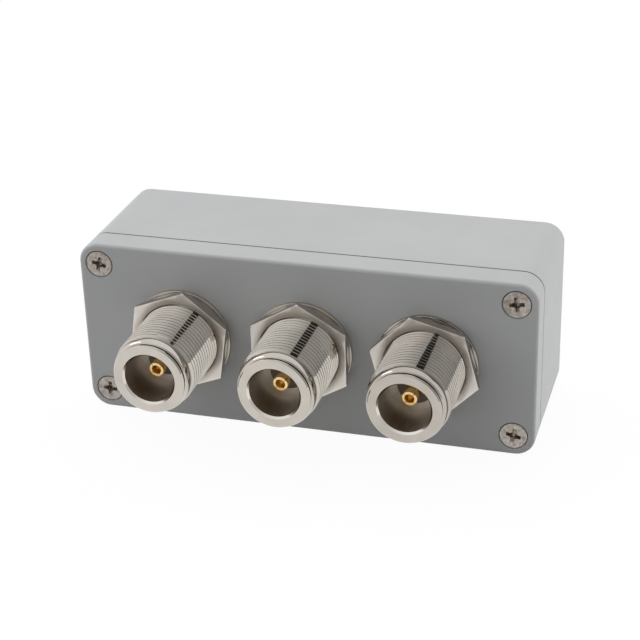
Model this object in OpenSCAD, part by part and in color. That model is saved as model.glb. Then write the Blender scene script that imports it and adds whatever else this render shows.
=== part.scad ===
// Coaxial diplexer in a small painted die-cast box.
// Three threaded jacks stand in a row on the lid; a low-pass and a high-pass filter on a board
// behind them share the middle jack. The box stands on its long narrow side, as it is shown.
// The part's origin is the centre of that underside: +X along the box, +Y into it, +Z up.
// Modules draw in the lid's own frame, face up on the bench, and as_stood() turns them upright.

/* [Box] */
// Width of the box, along its long side
case_w = 91.9; // [90:0.1:105]
// Height of the box as it stands
case_h = 36.3; // [35:0.1:42]
// Depth of the box with its lid on
case_d = 30.8; // [29:0.1:42]
// Depth of the lid alone, from its face to the parting line
lid_d = 6.1; // [5.6:0.1:8]
// Thickness of the cast walls and of the back
wall = 3; // [2.7:0.1:3.3]
// Thickness of the lid's face
lid_face = 3; // [2.6:0.1:3.4]
// Radius of the box's upright corners
corner_r = 4; // [3.4:0.1:5]
// Radius of the cast edges round the face and the back
edge_r = 0.7; // [0.5:0.05:1.2]
// Small bevel of both halves where they meet
seam_bevel = 0.2; // [0.1:0.05:0.3]

/* [Lid screws] */
// Distance of each screw from the box's sides
screw_inset = 4.2; // [4:0.05:4.4]
// Diameter of the screw's thread
screw_d = 3; // [2.5:0.1:3.1]
// Length of the screw with its head
screw_len = 14; // [12:0.5:16]
// Diameter of the countersunk head
head_d = 5.5; // [5.2:0.1:5.8]
// Height of the head's straight rim
head_rim = 0.25; // [0.15:0.05:0.35]
// Depth of the head's top below the lid's face
head_drop = 0.05; // [0:0.05:0.15]
// Gap round the head's rim in its countersink
head_gap = 0.15; // [0.1:0.05:0.2]
// Clearance round the thread in the lid
screw_gap = 0.1; // [0.05:0.05:0.2]
// Width across the arms of the cross recess
cross_w = 2.9; // [2.4:0.1:3.2]
// Width of one arm of the cross recess
cross_arm = 0.65; // [0.5:0.05:0.8]
// Depth of the cross recess
cross_depth = 1.2; // [0.8:0.1:1.4]
// Turn of each cross, in the order left top, right top, left bottom, right bottom
cross_turn = [-15, 8, -5, -12];
// Width of metal between the screw's hole and the seal groove
post_land = 0.7; // [0.6:0.05:0.9]
// Depth of the threaded hole beyond the screw's end
tap_spare = 1.5; // [1:0.5:3]

/* [Lid seal] */
// Width of the seal in its groove
gasket_w = 1.2; // [1:0.05:1.3]
// Depth of the groove in the lid's rim
groove_depth = 1.5; // [1.2:0.1:2]
// Height of the case's rib that presses on the seal
rib_h = 0.5; // [0.3:0.05:0.8]
// Gap on each side of the rib in the groove
rib_gap = 0.1; // [0.05:0.05:0.15]

/* [Jacks] */
// Distance between the axes of neighbouring jacks
jack_pitch = 24.85; // [24.2:0.05:27]
// Height of the jacks' axes above the underside
jack_z = 18.2; // [17:0.1:19]
// Reach of a jack in front of the lid
jack_reach = 19.1; // [17.5:0.1:22]
// Diameter over the thread
thread_d = 15.88; // [15.4:0.01:16]
// Depth of the thread, crest to half height, where the nut holds it
thread_half = 0.34; // [0.3:0.01:0.4]
// Lead bevel of the thread's front end
thread_lead = 0.35; // [0.2:0.05:0.5]
// Distance of the milled flat from the jack's axis
flat_at = 7.28; // [7.2:0.01:7.5]
// Direction that each flat faces, from +X towards +Z
flat_turn = [37, 41, 48];
// Diameter of the smooth band in front of the thread
band_d = 15.3; // [14.9:0.1:15.4]
// Length of the smooth band
band_len = 2; // [1.5:0.1:2.5]
// Small bevel at both ends of the band and on the nose
band_bevel = 0.25; // [0.1:0.05:0.3]
// Width of the groove behind the band
relief_w = 0.3; // [0.2:0.05:0.5]
// Diameter at the bottom of the groove behind the band
relief_d = 14.3; // [14:0.1:14.3]
// Diameter of the nose
nose_d = 14.22; // [13.8:0.02:14.3]
// Length of the nose
nose_len = 0.45; // [0.4:0.05:0.6]
// Width of the groove behind the nose
nick_w = 0.25; // [0.2:0.05:0.4]
// Diameter at the bottom of the groove behind the nose
nick_d = 13.5; // [13.2:0.1:13.6]
// Diameter of the jack's mouth
mouth_d = 9.9; // [9.4:0.1:10]
// Bevel round the mouth
mouth_bevel = 0.2; // [0.1:0.05:0.4]
// Depth of the mouth, down to its floor
mouth_depth = 9.1; // [8.6:0.1:9.6]

/* [Jack centres] */
// Depth of the contact's tip below the nose
tip_depth = 4.12; // [4.1:0.01:4.4]
// Diameter of the contact in the mouth
contact_d = 3.04; // [2.9:0.01:3.2]
// Diameter of the socket in the contact
socket_d = 1.7; // [1.65:0.01:1.75]
// Depth of the socket
socket_depth = 4.2; // [4:0.1:4.4]
// Length of the slots that part the socket's fingers
slot_len = 3.4; // [3:0.1:3.8]
// Width of the slots
slot_w = 0.28; // [0.2:0.01:0.29]
// Bevel of the contact's tip
tip_bevel = 0.2; // [0.1:0.05:0.3]
// Diameter of the contact's stem inside the insulator
stem_d = 2.1; // [1.8:0.1:2.4]
// Diameter of the pin that goes through the board
pin_d = 1.2; // [1:0.05:1.4]
// Diameter of the insulator
bead_d = 7; // [6.6:0.1:7.4]

/* [Jack fastening] */
// Clearance round the thread in the lid's hole
hole_gap = 0.16; // [0.1:0.01:0.3]
// Diameter of the flange behind the lid
flange_d = 19.6; // [19:0.1:20.4]
// Thickness of the flange
flange_t = 2; // [1.6:0.1:2.4]
// Thickness of the flat seal between flange and lid
seal_t = 0.8; // [0.6:0.1:1.2]
// Width by which the seal stays inside the flange's edge
seal_inset = 0.2; // [0.1:0.05:0.4]
// Diameter of the neck that carries the board
neck_d = 9.2; // [8.6:0.1:9.4]
// Length of the neck
neck_len = 3.7; // [3.2:0.1:5]
// Diameter of the washer
washer_d = 20.1; // [19.8:0.02:20.8]
// Thickness of the washer
washer_t = 0.8; // [0.6:0.05:1]
// Rounding bevel of the washer's edge
washer_bevel = 0.2; // [0.1:0.05:0.25]
// Width of the nut across its flats
nut_af = 19.1; // [18.8:0.1:19.6]
// Thickness of the nut
nut_t = 2.5; // [2.2:0.1:3]
// Diameter of the nut's bevelled face
nut_face_d = 20.4; // [20:0.1:21]
// Slope of the bevel on the nut's corners, in degrees
nut_slope = 30; // [20:1:35]
// Diameter of the countersink in the nut's face
nut_sink_d = 18.4; // [17.8:0.1:18.6]
// Direction of one corner of each nut, from +X towards +Z
nut_turn = [21.3, 30.1, 44.8];
// Clearance between the nut and the thread
nut_gap = 0.03; // [0.02:0.01:0.05]
// Front play between the nut's face and the free thread
nut_play = 0.2; // [0.1:0.05:0.3]

/* [Filter board] */
// Thickness of the board
board_t = 1.6; // [1:0.1:2]
// Gap between the board and the case's walls and posts
board_gap = 0.6; // [0.4:0.1:1]
// Radius of the board's corners
board_r = 1; // [0.5:0.1:2]
// Clearance round each wire in the board
wire_gap = 0.1; // [0.05:0.05:0.15]
// Length of the wires' ends that show on the front of the board
wire_end = 0.8; // [0.4:0.1:1.2]

/* [Coils] */
// Diameter of the coils' wire
coil_wire_d = 1; // [0.8:0.1:1.2]
// Mean diameter of a coil
coil_d = 6.4; // [5:0.1:7.5]
// Lift of a coil above the board
coil_lift = 1.2; // [0.8:0.1:2]
// Rise of the coils' axes over the jacks' axes
coil_rise = 1; // [0.5:0.1:1.5]
// Advance of a coil for each turn
coil_step = 1.5; // [1.3:0.05:1.6]
// Least space between a coil's foot and a jack's neck
neck_gap = 0.5; // [0.3:0.1:0.6]
// Turns of the low-pass coils
low_turns = 4.5; // [3.5:1:4.5]
// Turns of the high-pass coils
high_turns = 2.5; // [1.5:1:3.5]

/* [Capacitors] */
// Diameter of a disc capacitor
disc_d = 5; // [4:0.1:6]
// Thickness of a disc capacitor
disc_t = 1.8; // [1.4:0.1:2.2]
// Lift of the disc above the board
disc_lift = 1.5; // [1:0.1:3]
// Space between the capacitors and the coils
disc_gap = 3.5; // [1:0.1:4.5]
// Distance between a capacitor's leads
lead_pitch = 2.5; // [2:0.1:3]
// Diameter of a capacitor's leads
lead_d = 0.5; // [0.4:0.05:0.6]

/* [Hidden] */
SIDES = ["left", "middle", "right"];
eps = 0.01;

cast_grey = [0.60, 0.60, 0.60];
nickel = [0.77, 0.74, 0.70];
zinc = [0.70, 0.69, 0.64];
gold = [0.86, 0.68, 0.34];
rubber_black = [0.13, 0.13, 0.13];
insulator_dark = [0.20, 0.19, 0.18];
board_green = [0.16, 0.36, 0.24];
copper = [0.72, 0.43, 0.27];
disc_blue = [0.24, 0.40, 0.62];

// Places of the screws, left top, right top, left bottom, right bottom
screw_x = case_w / 2 - screw_inset;
screw_y = case_h / 2 - screw_inset;
screw_at = [[-screw_x, screw_y], [screw_x, screw_y], [-screw_x, -screw_y], [screw_x, -screw_y]];
head_cone = (head_d - screw_d) / 2;
screw_hole_r = screw_d / 2 + screw_gap;

// The seal's groove passes inside the screws, and the posts close round it
groove_notch = screw_hole_r + post_land;
groove_inset = (wall - gasket_w) / 2;
post_notch = groove_notch + gasket_w + groove_inset;

// Depths below the lid's face are negative, and what stands in front of it is positive
jack_y = jack_z - case_h / 2;
thread_r = thread_d / 2;
held_r = thread_r - thread_half;
nut_front = washer_t + nut_t;
nose_back = jack_reach - nose_len;
band_front = nose_back - nick_w;
band_back = band_front - band_len;
thread_front = band_back - relief_w;
flange_front = -lid_face - seal_t;
flange_back = flange_front - flange_t;
board_front = flange_back - neck_len;
board_back = board_front - board_t;
mouth_floor = jack_reach - mouth_depth;
tip = jack_reach - tip_depth;

// The board fills the cavity between the corner posts
board_w = 2 * (screw_x - post_notch - board_gap);
board_h = case_h - 2 * wall - 2 * board_gap;

// Each filter lies between the middle jack and an outer one. The coils' feet stand clear of the
// necks, and the capacitors stand below the coils.
coil_r = coil_d / 2;
coil_y = jack_y + coil_rise;
foot_r = neck_d / 2 + neck_gap + coil_wire_d / 2;
disc_x = [foot_x(1), jack_pitch / 2, jack_pitch - foot_x(-1)];
disc_y = coil_y - coil_r - coil_wire_d - disc_gap - disc_t;

module as_stood() {
    translate([0, -case_d / 2, case_h / 2]) rotate([90, 0, 0]) children();
}

module at_jack(i) {
    as_stood() translate([(i - 1) * jack_pitch, jack_y, 0]) children();
}

// Puts a component on the back of the board, with its own +Z away from the board
module on_board(x, y) {
    as_stood() translate([x, y, board_back]) rotate([180, 0, 0]) children();
}

module rounded_rect(w, h, r) {
    difference() {
        square([w, h], center = true);
        for (x = [-1, 1], y = [-1, 1])
            translate([x * (w / 2 - r), y * (h / 2 - r)]) difference() {
                translate([x * r, y * r]) square(2 * r, center = true);
                circle(r);
            }
    }
}

// Outline of the box drawn in by some amount, with a round-cornered notch about each screw
module notched_outline(inset, notch) {
    difference() {
        square([case_w - 2 * inset, case_h - 2 * inset], center = true);
        for (p = screw_at) translate(p) scale([sign(p[0]), sign(p[1])]) {
            circle(notch);
            translate([0, -notch]) square([screw_inset, screw_inset + notch]);
            translate([-notch, 0]) square([screw_inset + notch, screw_inset]);
        }
    }
}

// Section through one outer edge of a cast half, from the corner's centre outwards. The open side
// that meets the other half lies along the bottom and has a small bevel, the far edge is rounded.
module edge_section(depth) {
    difference() {
        polygon([
            [0, 0], [corner_r - seam_bevel, 0], [corner_r, seam_bevel],
            [corner_r, depth], [0, depth]
        ]);
        translate([corner_r - edge_r, depth - edge_r]) difference() {
            square(2 * edge_r);
            circle(edge_r);
        }
    }
}

// Solid outer form of a cast half: the section follows the sides and turns round the corners
module cast_block(depth) {
    straight_x = case_w - 2 * corner_r;
    straight_y = case_h - 2 * corner_r;
    translate([-straight_x / 2, -straight_y / 2, 0]) cube([straight_x, straight_y, depth]);
    for (a = [0, 180]) rotate(a) {
        translate([-straight_x / 2, straight_y / 2, 0])
            rotate([90, 0, 90]) linear_extrude(straight_x) edge_section(depth);
        translate([straight_x / 2, straight_y / 2, 0])
            rotate([90, 0, 0]) linear_extrude(straight_y) edge_section(depth);
        translate([straight_x / 2, straight_y / 2, 0])
            rotate_extrude(angle = 90) edge_section(depth);
        translate([-straight_x / 2, straight_y / 2, 0]) rotate(90)
            rotate_extrude(angle = 90) edge_section(depth);
    }
}

module case_body() {
    body_d = case_d - lid_d;
    tap_depth = screw_len + head_drop - lid_d + tap_spare;
    color(cast_grey) as_stood() translate([0, 0, -lid_d]) {
        difference() {
            mirror([0, 0, 1]) cast_block(body_d);
            translate([0, 0, wall - body_d])
                linear_extrude(body_d) notched_outline(wall, post_notch);
            for (p = screw_at) translate([p[0], p[1], -tap_depth]) cylinder(r = screw_d / 2, h = 2 * tap_depth);
        }
        // The rib stands on the rim and presses into the lid's seal
        translate([0, 0, -eps]) linear_extrude(rib_h + eps) difference() {
            notched_outline(groove_inset + rib_gap, groove_notch + rib_gap);
            notched_outline(groove_inset + gasket_w - rib_gap, groove_notch + gasket_w - rib_gap);
        }
    }
}

module countersink() {
    sink_r = head_d / 2 + head_gap;
    cone_top = head_drop + head_rim - head_gap;
    rotate([180, 0, 0]) rotate_extrude() polygon([
        [0, -eps], [sink_r, -eps], [sink_r, cone_top],
        [screw_hole_r, cone_top + sink_r - screw_hole_r],
        [screw_hole_r, lid_d + eps], [0, lid_d + eps]
    ]);
}

module lid() {
    color(cast_grey) as_stood() difference() {
        translate([0, 0, -lid_d]) cast_block(lid_d);
        translate([0, 0, -lid_d - eps])
            linear_extrude(lid_d - lid_face + eps) notched_outline(wall, post_notch);
        translate([0, 0, -lid_d - eps]) linear_extrude(groove_depth + eps) difference() {
            notched_outline(groove_inset, groove_notch);
            notched_outline(groove_inset + gasket_w, groove_notch + gasket_w);
        }
        for (p = screw_at) translate([p[0], p[1], 0]) countersink();
        for (i = [0:2]) translate([(i - 1) * jack_pitch, jack_y, -2 * lid_face])
            cylinder(r = thread_r + hole_gap, h = 3 * lid_face);
    }
}

module lid_gasket() {
    color(rubber_black) as_stood() translate([0, 0, -lid_d + rib_h])
        linear_extrude(groove_depth - rib_h) difference() {
            notched_outline(groove_inset, groove_notch);
            notched_outline(groove_inset + gasket_w, groove_notch + gasket_w);
        }
}

module lid_screw(turn) {
    rotate([180, 0, turn]) translate([0, 0, head_drop]) difference() {
        rotate_extrude() polygon([
            [0, 0], [head_d / 2, 0], [head_d / 2, head_rim], [screw_d / 2, head_rim + head_cone],
            [screw_d / 2, screw_len - screw_d / 4], [screw_d / 4, screw_len], [0, screw_len]
        ]);
        translate([0, 0, -eps]) linear_extrude(cross_depth + eps) {
            square([cross_w, cross_arm], center = true);
            square([cross_arm, cross_w], center = true);
        }
    }
}

module lid_screws() {
    color(zinc) as_stood() for (i = [0:3])
        translate([screw_at[i][0], screw_at[i][1], 0]) lid_screw(-cross_turn[i]);
}

// Turned body of a jack: nose, smooth band, thread with its milled flat, flange and rear neck.
// The thread is drawn at its crest where it is free, and at half height where the nut holds it.
// The flat starts at the lid's back, a seal's thickness in front of the flange.
module jack_shell(i) {
    color(nickel) at_jack(i) difference() {
        rotate_extrude() polygon([
            [bead_d / 2, board_front], [neck_d / 2, board_front], [neck_d / 2, flange_back],
            [flange_d / 2, flange_back], [flange_d / 2, flange_front], [thread_r, flange_front],
            [thread_r, washer_t], [held_r, washer_t], [held_r, nut_front + nut_play],
            [thread_r, nut_front + nut_play], [thread_r, thread_front - thread_lead],
            [thread_r - thread_lead, thread_front], [relief_d / 2, thread_front],
            [relief_d / 2, band_back], [band_d / 2 - band_bevel, band_back],
            [band_d / 2, band_back + band_bevel], [band_d / 2, band_front - band_bevel],
            [band_d / 2 - band_bevel, band_front], [nick_d / 2, band_front],
            [nick_d / 2, nose_back], [nose_d / 2, nose_back],
            [nose_d / 2, jack_reach - band_bevel], [nose_d / 2 - band_bevel, jack_reach],
            [mouth_d / 2 + mouth_bevel, jack_reach], [mouth_d / 2, jack_reach - mouth_bevel],
            [mouth_d / 2, mouth_floor], [bead_d / 2, mouth_floor]
        ]);
        rotate(flat_turn[i]) translate([flat_at, -thread_d / 2, -lid_face])
            cube([thread_d, thread_d, 2 * jack_reach]);
    }
}

module insulator(i) {
    color(insulator_dark) at_jack(i) translate([0, 0, board_front]) difference() {
        cylinder(d = bead_d, h = mouth_floor - board_front);
        translate([0, 0, -eps]) cylinder(d = stem_d, h = mouth_floor - board_front + 2 * eps);
    }
}

module contact(i) {
    color(gold) at_jack(i) difference() {
        rotate_extrude() polygon([
            [0, board_back - wire_end], [pin_d / 2, board_back - wire_end],
            [pin_d / 2, board_front], [stem_d / 2, board_front], [stem_d / 2, mouth_floor],
            [contact_d / 2, mouth_floor], [contact_d / 2, tip - tip_bevel],
            [contact_d / 2 - tip_bevel, tip], [socket_d / 2, tip],
            [socket_d / 2, tip - socket_depth], [0, tip - socket_depth]
        ]);
        translate([0, 0, tip - slot_len]) linear_extrude(slot_len + eps) for (a = [0, 90])
            rotate(a + flat_turn[i]) square([contact_d + eps, slot_w], center = true);
    }
}

module jack_seal(i) {
    color(rubber_black) at_jack(i) translate([0, 0, flange_front]) difference() {
        cylinder(r = flange_d / 2 - seal_inset, h = seal_t);
        translate([0, 0, -eps]) cylinder(r = thread_r + hole_gap, h = seal_t + 2 * eps);
    }
}

module jack_washers() {
    color(nickel) for (i = [0:2]) at_jack(i) rotate_extrude() polygon([
        [thread_r + nut_gap, 0], [washer_d / 2, 0], [washer_d / 2, washer_t - washer_bevel],
        [washer_d / 2 - washer_bevel, washer_t], [thread_r + nut_gap, washer_t]
    ]);
}

module nut() {
    corner_d = nut_af / cos(30);
    corner_drop = (corner_d - nut_face_d) / 2 * tan(nut_slope);
    bore_r = held_r + nut_gap;
    difference() {
        intersection() {
            cylinder(d = corner_d, h = nut_t, $fn = 6);
            rotate_extrude() polygon([
                [0, 0], [corner_d / 2 + eps, 0], [corner_d / 2 + eps, nut_t - corner_drop],
                [nut_face_d / 2, nut_t], [0, nut_t]
            ]);
        }
        rotate_extrude() polygon([
            [0, -eps], [bore_r, -eps], [bore_r, nut_t - nut_sink_d / 2 + bore_r],
            [nut_sink_d / 2, nut_t], [nut_sink_d / 2, nut_t + eps], [0, nut_t + eps]
        ]);
    }
}

module jack_nuts() {
    color(nickel) for (i = [0:2])
        at_jack(i) translate([0, 0, washer_t]) rotate(nut_turn[i]) nut();
}

// A wire that follows a path: rings of points about it, joined by triangles and closed at both
// ends. The rings keep the coil's axis as their reference, which no stretch of the path follows.
function unit(v) = v / norm(v);
function along(path, k) =
    unit(path[min(k + 1, len(path) - 1)] - path[max(k - 1, 0)]);
function ring(p, t, axis, r, sides) =
    let (a = unit(axis - (axis * t) * t), b = cross(t, a))
    [for (s = [0:sides - 1]) p + r * (cos(360 * s / sides) * a + sin(360 * s / sides) * b)];

module wire(path, axis, r, sides) {
    last = len(path) - 1;
    points = [for (k = [0:last]) each ring(path[k], along(path, k), axis, r, sides)];
    tube = [for (k = [0:last - 1], s = [0:sides - 1])
        let (a = k * sides + s, b = k * sides + (s + 1) % sides)
        each [[a, b + sides, b], [a, a + sides, b + sides]]];
    start_cap = [for (s = [1:sides - 2]) [0, s, s + 1]];
    end_cap = [for (s = [1:sides - 2]) [0, s + 1, s] + last * sides * [1, 1, 1]];
    polyhedron(points, concat(tube, start_cap, end_cap));
}

// Air-core coil lying on the board, with its two ends straight down through it
coil_sides = 8;
coil_segments = 16;
function coil_path(turns) =
    let (
        half = coil_step * turns / 2,
        lift = coil_lift + coil_wire_d / 2 + coil_r,
        foot = -board_t - wire_end,
        steps = turns * coil_segments
    ) concat(
        [[-half, -coil_r, foot]],
        [for (k = [0:steps]) let (a = 360 * k / coil_segments)
            [-half + coil_step * turns * k / steps, -coil_r * cos(a), lift + coil_r * sin(a)]],
        [[half, coil_r, foot]]
    );

// Distance of a foot from the axis of the jack beside it: up is 1 for a foot above the coil's axis
// and -1 for one below it
function foot_x(up) = sqrt(max(0, pow(foot_r, 2) - pow(coil_r + up * coil_rise, 2)));

// Distance of a coil from the middle jack: place 0 is next to it, place 1 next to the outer jack
function coil_x(side, place, turns) = place == 0
    ? foot_x(side) + coil_step * turns / 2
    : jack_pitch - foot_x(-side) - coil_step * turns / 2;

module coil(side, place, turns) {
    color(copper) on_board(side * coil_x(side, place, turns), coil_y)
        wire(coil_path(turns), [1, 0, 0], coil_wire_d / 2, coil_sides);
}

module low_coil_inner() coil(-1, 0, low_turns);
module low_coil_outer() coil(-1, 1, low_turns);
module high_coil_inner() coil(1, 0, high_turns);
module high_coil_outer() coil(1, 1, high_turns);

// Disc capacitor standing on its two leads
module capacitor(side, place) {
    rim = disc_t / 4;
    color(disc_blue) on_board(side * disc_x[place], disc_y) {
        translate([0, 0, disc_lift + disc_d / 2]) rotate([90, 0, 0]) rotate_extrude() polygon([
            [0, -disc_t / 2], [disc_d / 2 - rim, -disc_t / 2], [disc_d / 2, -disc_t / 2 + rim],
            [disc_d / 2, disc_t / 2 - rim], [disc_d / 2 - rim, disc_t / 2], [0, disc_t / 2]
        ]);
        for (x = [-1, 1]) translate([x * lead_pitch / 2, 0, -board_t - wire_end])
            cylinder(d = lead_d, h = board_t + wire_end + disc_lift + disc_d / 2);
    }
}

module low_capacitor_inner() capacitor(-1, 0);
module low_capacitor_middle() capacitor(-1, 1);
module low_capacitor_outer() capacitor(-1, 2);
module high_capacitor_inner() capacitor(1, 0);
module high_capacitor_middle() capacitor(1, 1);
module high_capacitor_outer() capacitor(1, 2);

// Places of the wires' holes, in the lid's frame
function coil_feet(side, place, turns) =
    let (half = coil_step * turns / 2, x = side * coil_x(side, place, turns))
    [[x - half, coil_y + coil_r], [x + half, coil_y - coil_r]];

module filter_board() {
    coil_holes = concat(
        coil_feet(-1, 0, low_turns), coil_feet(-1, 1, low_turns),
        coil_feet(1, 0, high_turns), coil_feet(1, 1, high_turns)
    );
    lead_holes = [for (side = [-1, 1], x = disc_x, end = [-1, 1])
        [side * x + end * lead_pitch / 2, disc_y]];
    color(board_green) as_stood() translate([0, 0, board_back]) linear_extrude(board_t)
        difference() {
            rounded_rect(board_w, board_h, board_r);
            for (i = [0:2]) translate([(i - 1) * jack_pitch, jack_y])
                circle(r = pin_d / 2 + wire_gap);
            for (p = coil_holes) translate(p) circle(r = coil_wire_d / 2 + wire_gap);
            for (p = lead_holes) translate(p) circle(r = lead_d / 2 + wire_gap);
        }
}

case_body();
lid();
lid_gasket();
lid_screws();
for (i = [0:2]) {
    jack_shell(i);
    insulator(i);
    contact(i);
    jack_seal(i);
}
jack_washers();
jack_nuts();
filter_board();
low_coil_inner();
low_coil_outer();
high_coil_inner();
high_coil_outer();
low_capacitor_inner();
low_capacitor_middle();
low_capacitor_outer();
high_capacitor_inner();
high_capacitor_middle();
high_capacitor_outer();
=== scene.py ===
# %% [markdown]
# # A coaxial diplexer in a die-cast box
# A diplexer is two radio filters that share one port. This one lives in a small painted box of
# die-cast aluminium that stands on its long side, with three threaded coaxial jacks in a row on
# its lid. This lesson dresses the finished solids with their real surfaces: cut threads, bevelled
# nuts, cross-recess screws and slotted gold contacts outside, and lacquer, copper and solder mask
# inside.

# %% The frame
import math

import bmesh
import bpy
from mathutils import Matrix, Vector


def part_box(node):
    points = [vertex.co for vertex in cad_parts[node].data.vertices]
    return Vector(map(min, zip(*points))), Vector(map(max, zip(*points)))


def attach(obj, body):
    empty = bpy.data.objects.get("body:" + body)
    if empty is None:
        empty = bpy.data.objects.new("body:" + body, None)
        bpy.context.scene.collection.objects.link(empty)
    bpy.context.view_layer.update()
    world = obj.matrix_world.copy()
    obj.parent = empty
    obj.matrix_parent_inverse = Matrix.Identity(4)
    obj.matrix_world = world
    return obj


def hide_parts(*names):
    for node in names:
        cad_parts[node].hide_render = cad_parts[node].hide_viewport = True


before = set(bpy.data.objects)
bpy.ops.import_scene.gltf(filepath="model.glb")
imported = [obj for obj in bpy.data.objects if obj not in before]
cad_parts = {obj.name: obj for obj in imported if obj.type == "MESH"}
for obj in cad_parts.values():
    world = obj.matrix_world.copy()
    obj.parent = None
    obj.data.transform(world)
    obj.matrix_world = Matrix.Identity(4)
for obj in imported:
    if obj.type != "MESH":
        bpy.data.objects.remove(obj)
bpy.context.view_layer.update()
print("solids in the frame:", len(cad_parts))

# %% [markdown]
# ## Where things stand
# A turned piece could be modelled right where it stands, but then every number would hold the
# jack's place as well. Here it is modelled in millimetres about its own axis, with Z out of the
# lid. A placing matrix then scales it to metres, turns it upright and moves it to where the frame
# says that jack stands. The frame is measured once, so no place is typed twice.

# %% Places
MM = 0.001
SIDES = ("left", "middle", "right")
LID_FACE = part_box("lid")[0].y


def upright_at(x, z):
    """Places a thing modelled in millimetres, facing +Z, on the lid's face at that x and z."""
    quarter_turn = Matrix.Rotation(math.pi / 2, 4, "X")
    return Matrix.Translation((x, LID_FACE, z)) @ quarter_turn @ Matrix.Scale(MM, 4)


def centre_of(node):
    """The middle of a node's box, in metres."""
    low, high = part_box(node)
    return (low + high) / 2


jack_centres = {side: centre_of(f"{side}_jack_shell") for side in SIDES}
jack_places = {side: upright_at(c.x, c.z) for side, c in jack_centres.items()}
print("jack axes:", {side: (round(c.x, 4), round(c.z, 4)) for side, c in jack_centres.items()})

# %% [markdown]
# ## Materials
# Colours are written as hex values, which are sRGB, and one function turns them linear. Another
# adds a node with its settings and links. Every pattern reads Object coordinates, and its size is
# given in real millimetres on the object, so it stays right from any side and at any distance.

# %% Colour and node helpers


def linear(hex_code):
    """An sRGB hex colour as linear RGBA."""
    channels = [int(hex_code[i:i + 2], 16) / 255 for i in (1, 3, 5)]
    return [c / 12.92 if c <= 0.04045 else ((c + 0.055) / 1.055) ** 2.4 for c in channels] + [1.0]


def add_node(tree, kind, inputs=None, **settings):
    """Adds a node. settings are its own options, inputs are values or other nodes' outputs."""
    node = tree.nodes.new(kind)
    for name, value in settings.items():
        setattr(node, name, value)
    for name, value in (inputs or {}).items():
        if isinstance(value, bpy.types.NodeSocket):
            tree.links.new(value, node.inputs[name])
        else:
            node.inputs[name].default_value = value
    return node


def per_mm(size):
    """The texture scale at which one cell of a pattern is that many millimetres wide."""
    return 1 / (size * MM)


def new_material(name):
    """An empty material, with its tree, its Principled shader and its Object coordinates."""
    material = bpy.data.materials.new(name)
    material.use_nodes = True
    tree = material.node_tree
    shader = tree.nodes["Principled BSDF"]
    place = add_node(tree, "ShaderNodeTexCoord").outputs["Object"]
    return material, tree, shader, place


def noise(tree, place, size, detail=2.0):
    """Cloudy noise whose lumps are about that many millimetres wide."""
    inputs = {"Vector": place, "Scale": per_mm(size), "Detail": detail}
    return add_node(tree, "ShaderNodeTexNoise", inputs).outputs["Fac"]


def blend_colours(tree, fac, dark, light, low=0.3, high=0.7):
    """A ramp from one hex colour to another as fac goes from low to high."""
    ramp = add_node(tree, "ShaderNodeValToRGB", {"Fac": fac})
    for end, position, colour in ((0, low, dark), (1, high, light)):
        ramp.color_ramp.elements[end].position = position
        ramp.color_ramp.elements[end].color = linear(colour)
    return ramp.outputs["Color"]


def spread(tree, fac, low, high):
    """Maps fac from 0..1 to low..high."""
    inputs = {"Value": fac, "To Min": low, "To Max": high}
    return add_node(tree, "ShaderNodeMapRange", inputs).outputs["Result"]


def bump(tree, shader, height, depth):
    """Raises the surface by height, 0 to 1, times depth in millimetres."""
    made = add_node(tree, "ShaderNodeBump", {"Height": height, "Distance": depth * MM})
    tree.links.new(made.outputs["Normal"], shader.inputs["Normal"])


print("a written #808080 is", round(linear("#808080")[0], 3), "in linear light")

# %% [markdown]
# The box is die-cast aluminium under grey enamel, sprayed and baked. The paint is smooth but not
# polished: it has a faint orange peel about a millimetre wide, and its grey drifts a little. Where
# lid and case meet, dust has settled in the joint and draws a thin dark line round the box. The
# line could be a groove in the mesh, but at a sixth of a millimetre its colour is all that shows,
# so the paint turns dark by its distance from the joint.

# %% Grey enamel on die-cast aluminium
SEAM_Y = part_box("lid")[1].y
DUST_FULL, DUST_GONE = 0.08 * MM, 0.24 * MM
# How wide the drifts of grey and of gloss and the orange peel's bumps are, in millimetres
GREY_DRIFT, GLOSS_DRIFT, ORANGE_PEEL = 14, 3, 1.1


def grey_enamel():
    material, tree, shader, place = new_material("grey_enamel_on_diecast")
    paint = blend_colours(tree, noise(tree, place, GREY_DRIFT), "#A5A6A7", "#A9AAAA")
    depth = add_node(tree, "ShaderNodeSeparateXYZ", {"Vector": place}).outputs["Y"]
    past_seam = add_node(tree, "ShaderNodeMath", {0: depth, 1: SEAM_Y}, operation="SUBTRACT")
    away = add_node(tree, "ShaderNodeMath", {0: past_seam.outputs["Value"]}, operation="ABSOLUTE")
    clean = add_node(tree, "ShaderNodeMapRange",
                     {"Value": away.outputs["Value"], "From Min": DUST_FULL, "From Max": DUST_GONE})
    dusty = add_node(tree, "ShaderNodeMix",
                     {0: clean.outputs["Result"], 6: linear("#3C3C3C"), 7: paint}, data_type="RGBA")
    tree.links.new(dusty.outputs[2], shader.inputs["Base Color"])
    gloss = spread(tree, noise(tree, place, GLOSS_DRIFT), 0.40, 0.50)
    tree.links.new(gloss, shader.inputs["Roughness"])
    bump(tree, shader, noise(tree, place, ORANGE_PEEL), 0.012)
    return material


enamel = grey_enamel()
print("joint of lid and case at y =", round(SEAM_Y, 5))

# %% [markdown]
# The jacks, nuts and washers are turned brass under nickel plate, and the contacts are gold
# plated. A lathe tool leaves rings round the axis. They could be modelled or wrapped round as a
# picture, but here the noise is simply read from the distance to the jack's axis and the depth
# along it, which draws rings on any turned shape. Real tool marks are about 0.1 mm apart. They
# are drawn at 0.25 mm, as coarse as they can show.

# %% Turned metal
MARK_SIZE = 0.25
TONE_DRIFT = 5


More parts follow.
